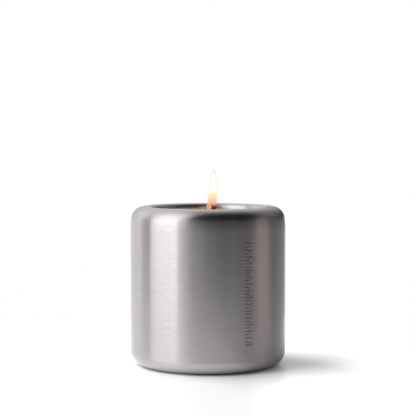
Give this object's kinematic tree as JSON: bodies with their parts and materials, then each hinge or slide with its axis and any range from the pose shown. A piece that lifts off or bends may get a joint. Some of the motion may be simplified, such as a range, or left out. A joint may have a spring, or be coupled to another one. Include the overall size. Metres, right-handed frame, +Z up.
{
  "type": "container candle",
  "caption": "Lit candle in a double-walled brushed steel vessel with a straight wall, a rounded base corner and a shoulder that rolls in to a smaller open mouth.",
  "frame": {"origin": "on the table, under the centre of the vessel", "axes": "+Z up along the vessel's axis, -Y is the front, and the wick leans towards +X"},
  "size_m": [0.08, 0.08, 0.1011],
  "materials": {
    "shell_steel": "satin",
    "cup_steel": "satin",
    "base_steel": "satin",
    "silicone": "matte",
    "label_paper": "matte",
    "wax": "satin",
    "liquid_wax": "gloss",
    "wick_cotton": "matte",
    "wick_paper": "matte",
    "tinplate": "satin",
    "foam": "matte",
    "flame_glow": "matte"
  },
  "bodies": {
    "root": {"outer_shell": "shell_steel", "inner_cup": "cup_steel", "base_plate": "base_steel", "foot_ring": "silicone", "base_label": "label_paper", "wax_fill": "wax", "melt_pool": "liquid_wax", "wick_braid": "wick_cotton", "wick_core": "wick_paper", "wick_tab": "tinplate", "wick_sticker": "foam", "flame": "flame_glow"}
  },
  "joints": []
}
